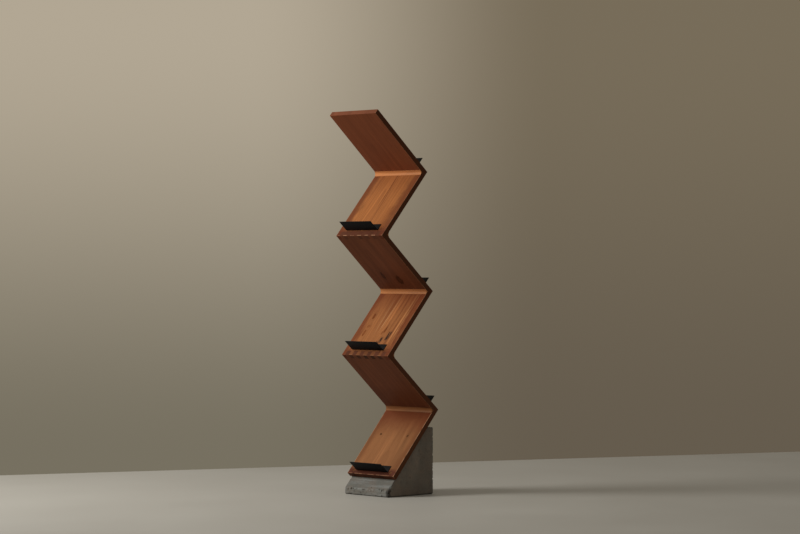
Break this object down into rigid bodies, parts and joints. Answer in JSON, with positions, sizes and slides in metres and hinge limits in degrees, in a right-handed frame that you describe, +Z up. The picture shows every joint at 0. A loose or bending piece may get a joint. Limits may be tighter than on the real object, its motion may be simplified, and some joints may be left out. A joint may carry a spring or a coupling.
{
  "type": "magazine shelf",
  "caption": "Free-standing zigzag magazine shelf: finger-jointed pine boards with folded black steel ledges, rising in a column from a cast concrete wedge foot.",
  "frame": {"origin": "centre of the concrete foot's underside, on the floor", "axes": "+Z up, -Y towards the front, where the lowest board faces, +X to the right seen from the front"},
  "size_m": [0.28, 0.386, 1.6051],
  "materials": {
    "front_board_wood": "oiled pine, satin, warm red-brown",
    "rear_board_wood": "oiled pine, satin, darker red-brown",
    "cove_wood": "oiled pine, satin, lighter than the boards",
    "black_steel": "matt black powder coat",
    "black_screw": "black oxide",
    "dark_bolt": "darkened steel",
    "zinc_socket": "zinc plate",
    "concrete": "raw cast concrete with chipped edges"
  },
  "bodies": {
    "root": {"concrete_base": "concrete", "front_board_1": "front_board_wood", "front_ledge_1": "black_steel", "front_ledge_1_screw_1": "black_screw", "front_ledge_1_screw_2": "black_screw", "front_cove_1": "cove_wood", "front_board_2": "front_board_wood", "front_ledge_2": "black_steel", "front_ledge_2_screw_1": "black_screw", "front_ledge_2_screw_2": "black_screw", "front_cove_2": "cove_wood", "front_board_3": "front_board_wood", "front_ledge_3": "black_steel", "front_ledge_3_screw_1": "black_screw", "front_ledge_3_screw_2": "black_screw", "front_cove_3": "cove_wood", "rear_board_1": "rear_board_wood", "rear_ledge_1": "black_steel", "rear_ledge_1_screw_1": "black_screw", "rear_ledge_1_screw_2": "black_screw", "rear_cove_1": "cove_wood", "rear_board_2": "rear_board_wood", "rear_ledge_2": "black_steel", "rear_ledge_2_screw_1": "black_screw", "rear_ledge_2_screw_2": "black_screw", "rear_cove_2": "cove_wood", "rear_board_3": "rear_board_wood", "rear_ledge_3": "black_steel", "rear_ledge_3_screw_1": "black_screw", "rear_ledge_3_screw_2": "black_screw", "anchor_bolt_1": "dark_bolt", "anchor_socket_1": "zinc_socket", "anchor_bolt_2": "dark_bolt", "anchor_socket_2": "zinc_socket", "anchor_bolt_3": "dark_bolt", "anchor_socket_3": "zinc_socket", "anchor_bolt_4": "dark_bolt", "anchor_socket_4": "zinc_socket"}
  },
  "joints": []
}
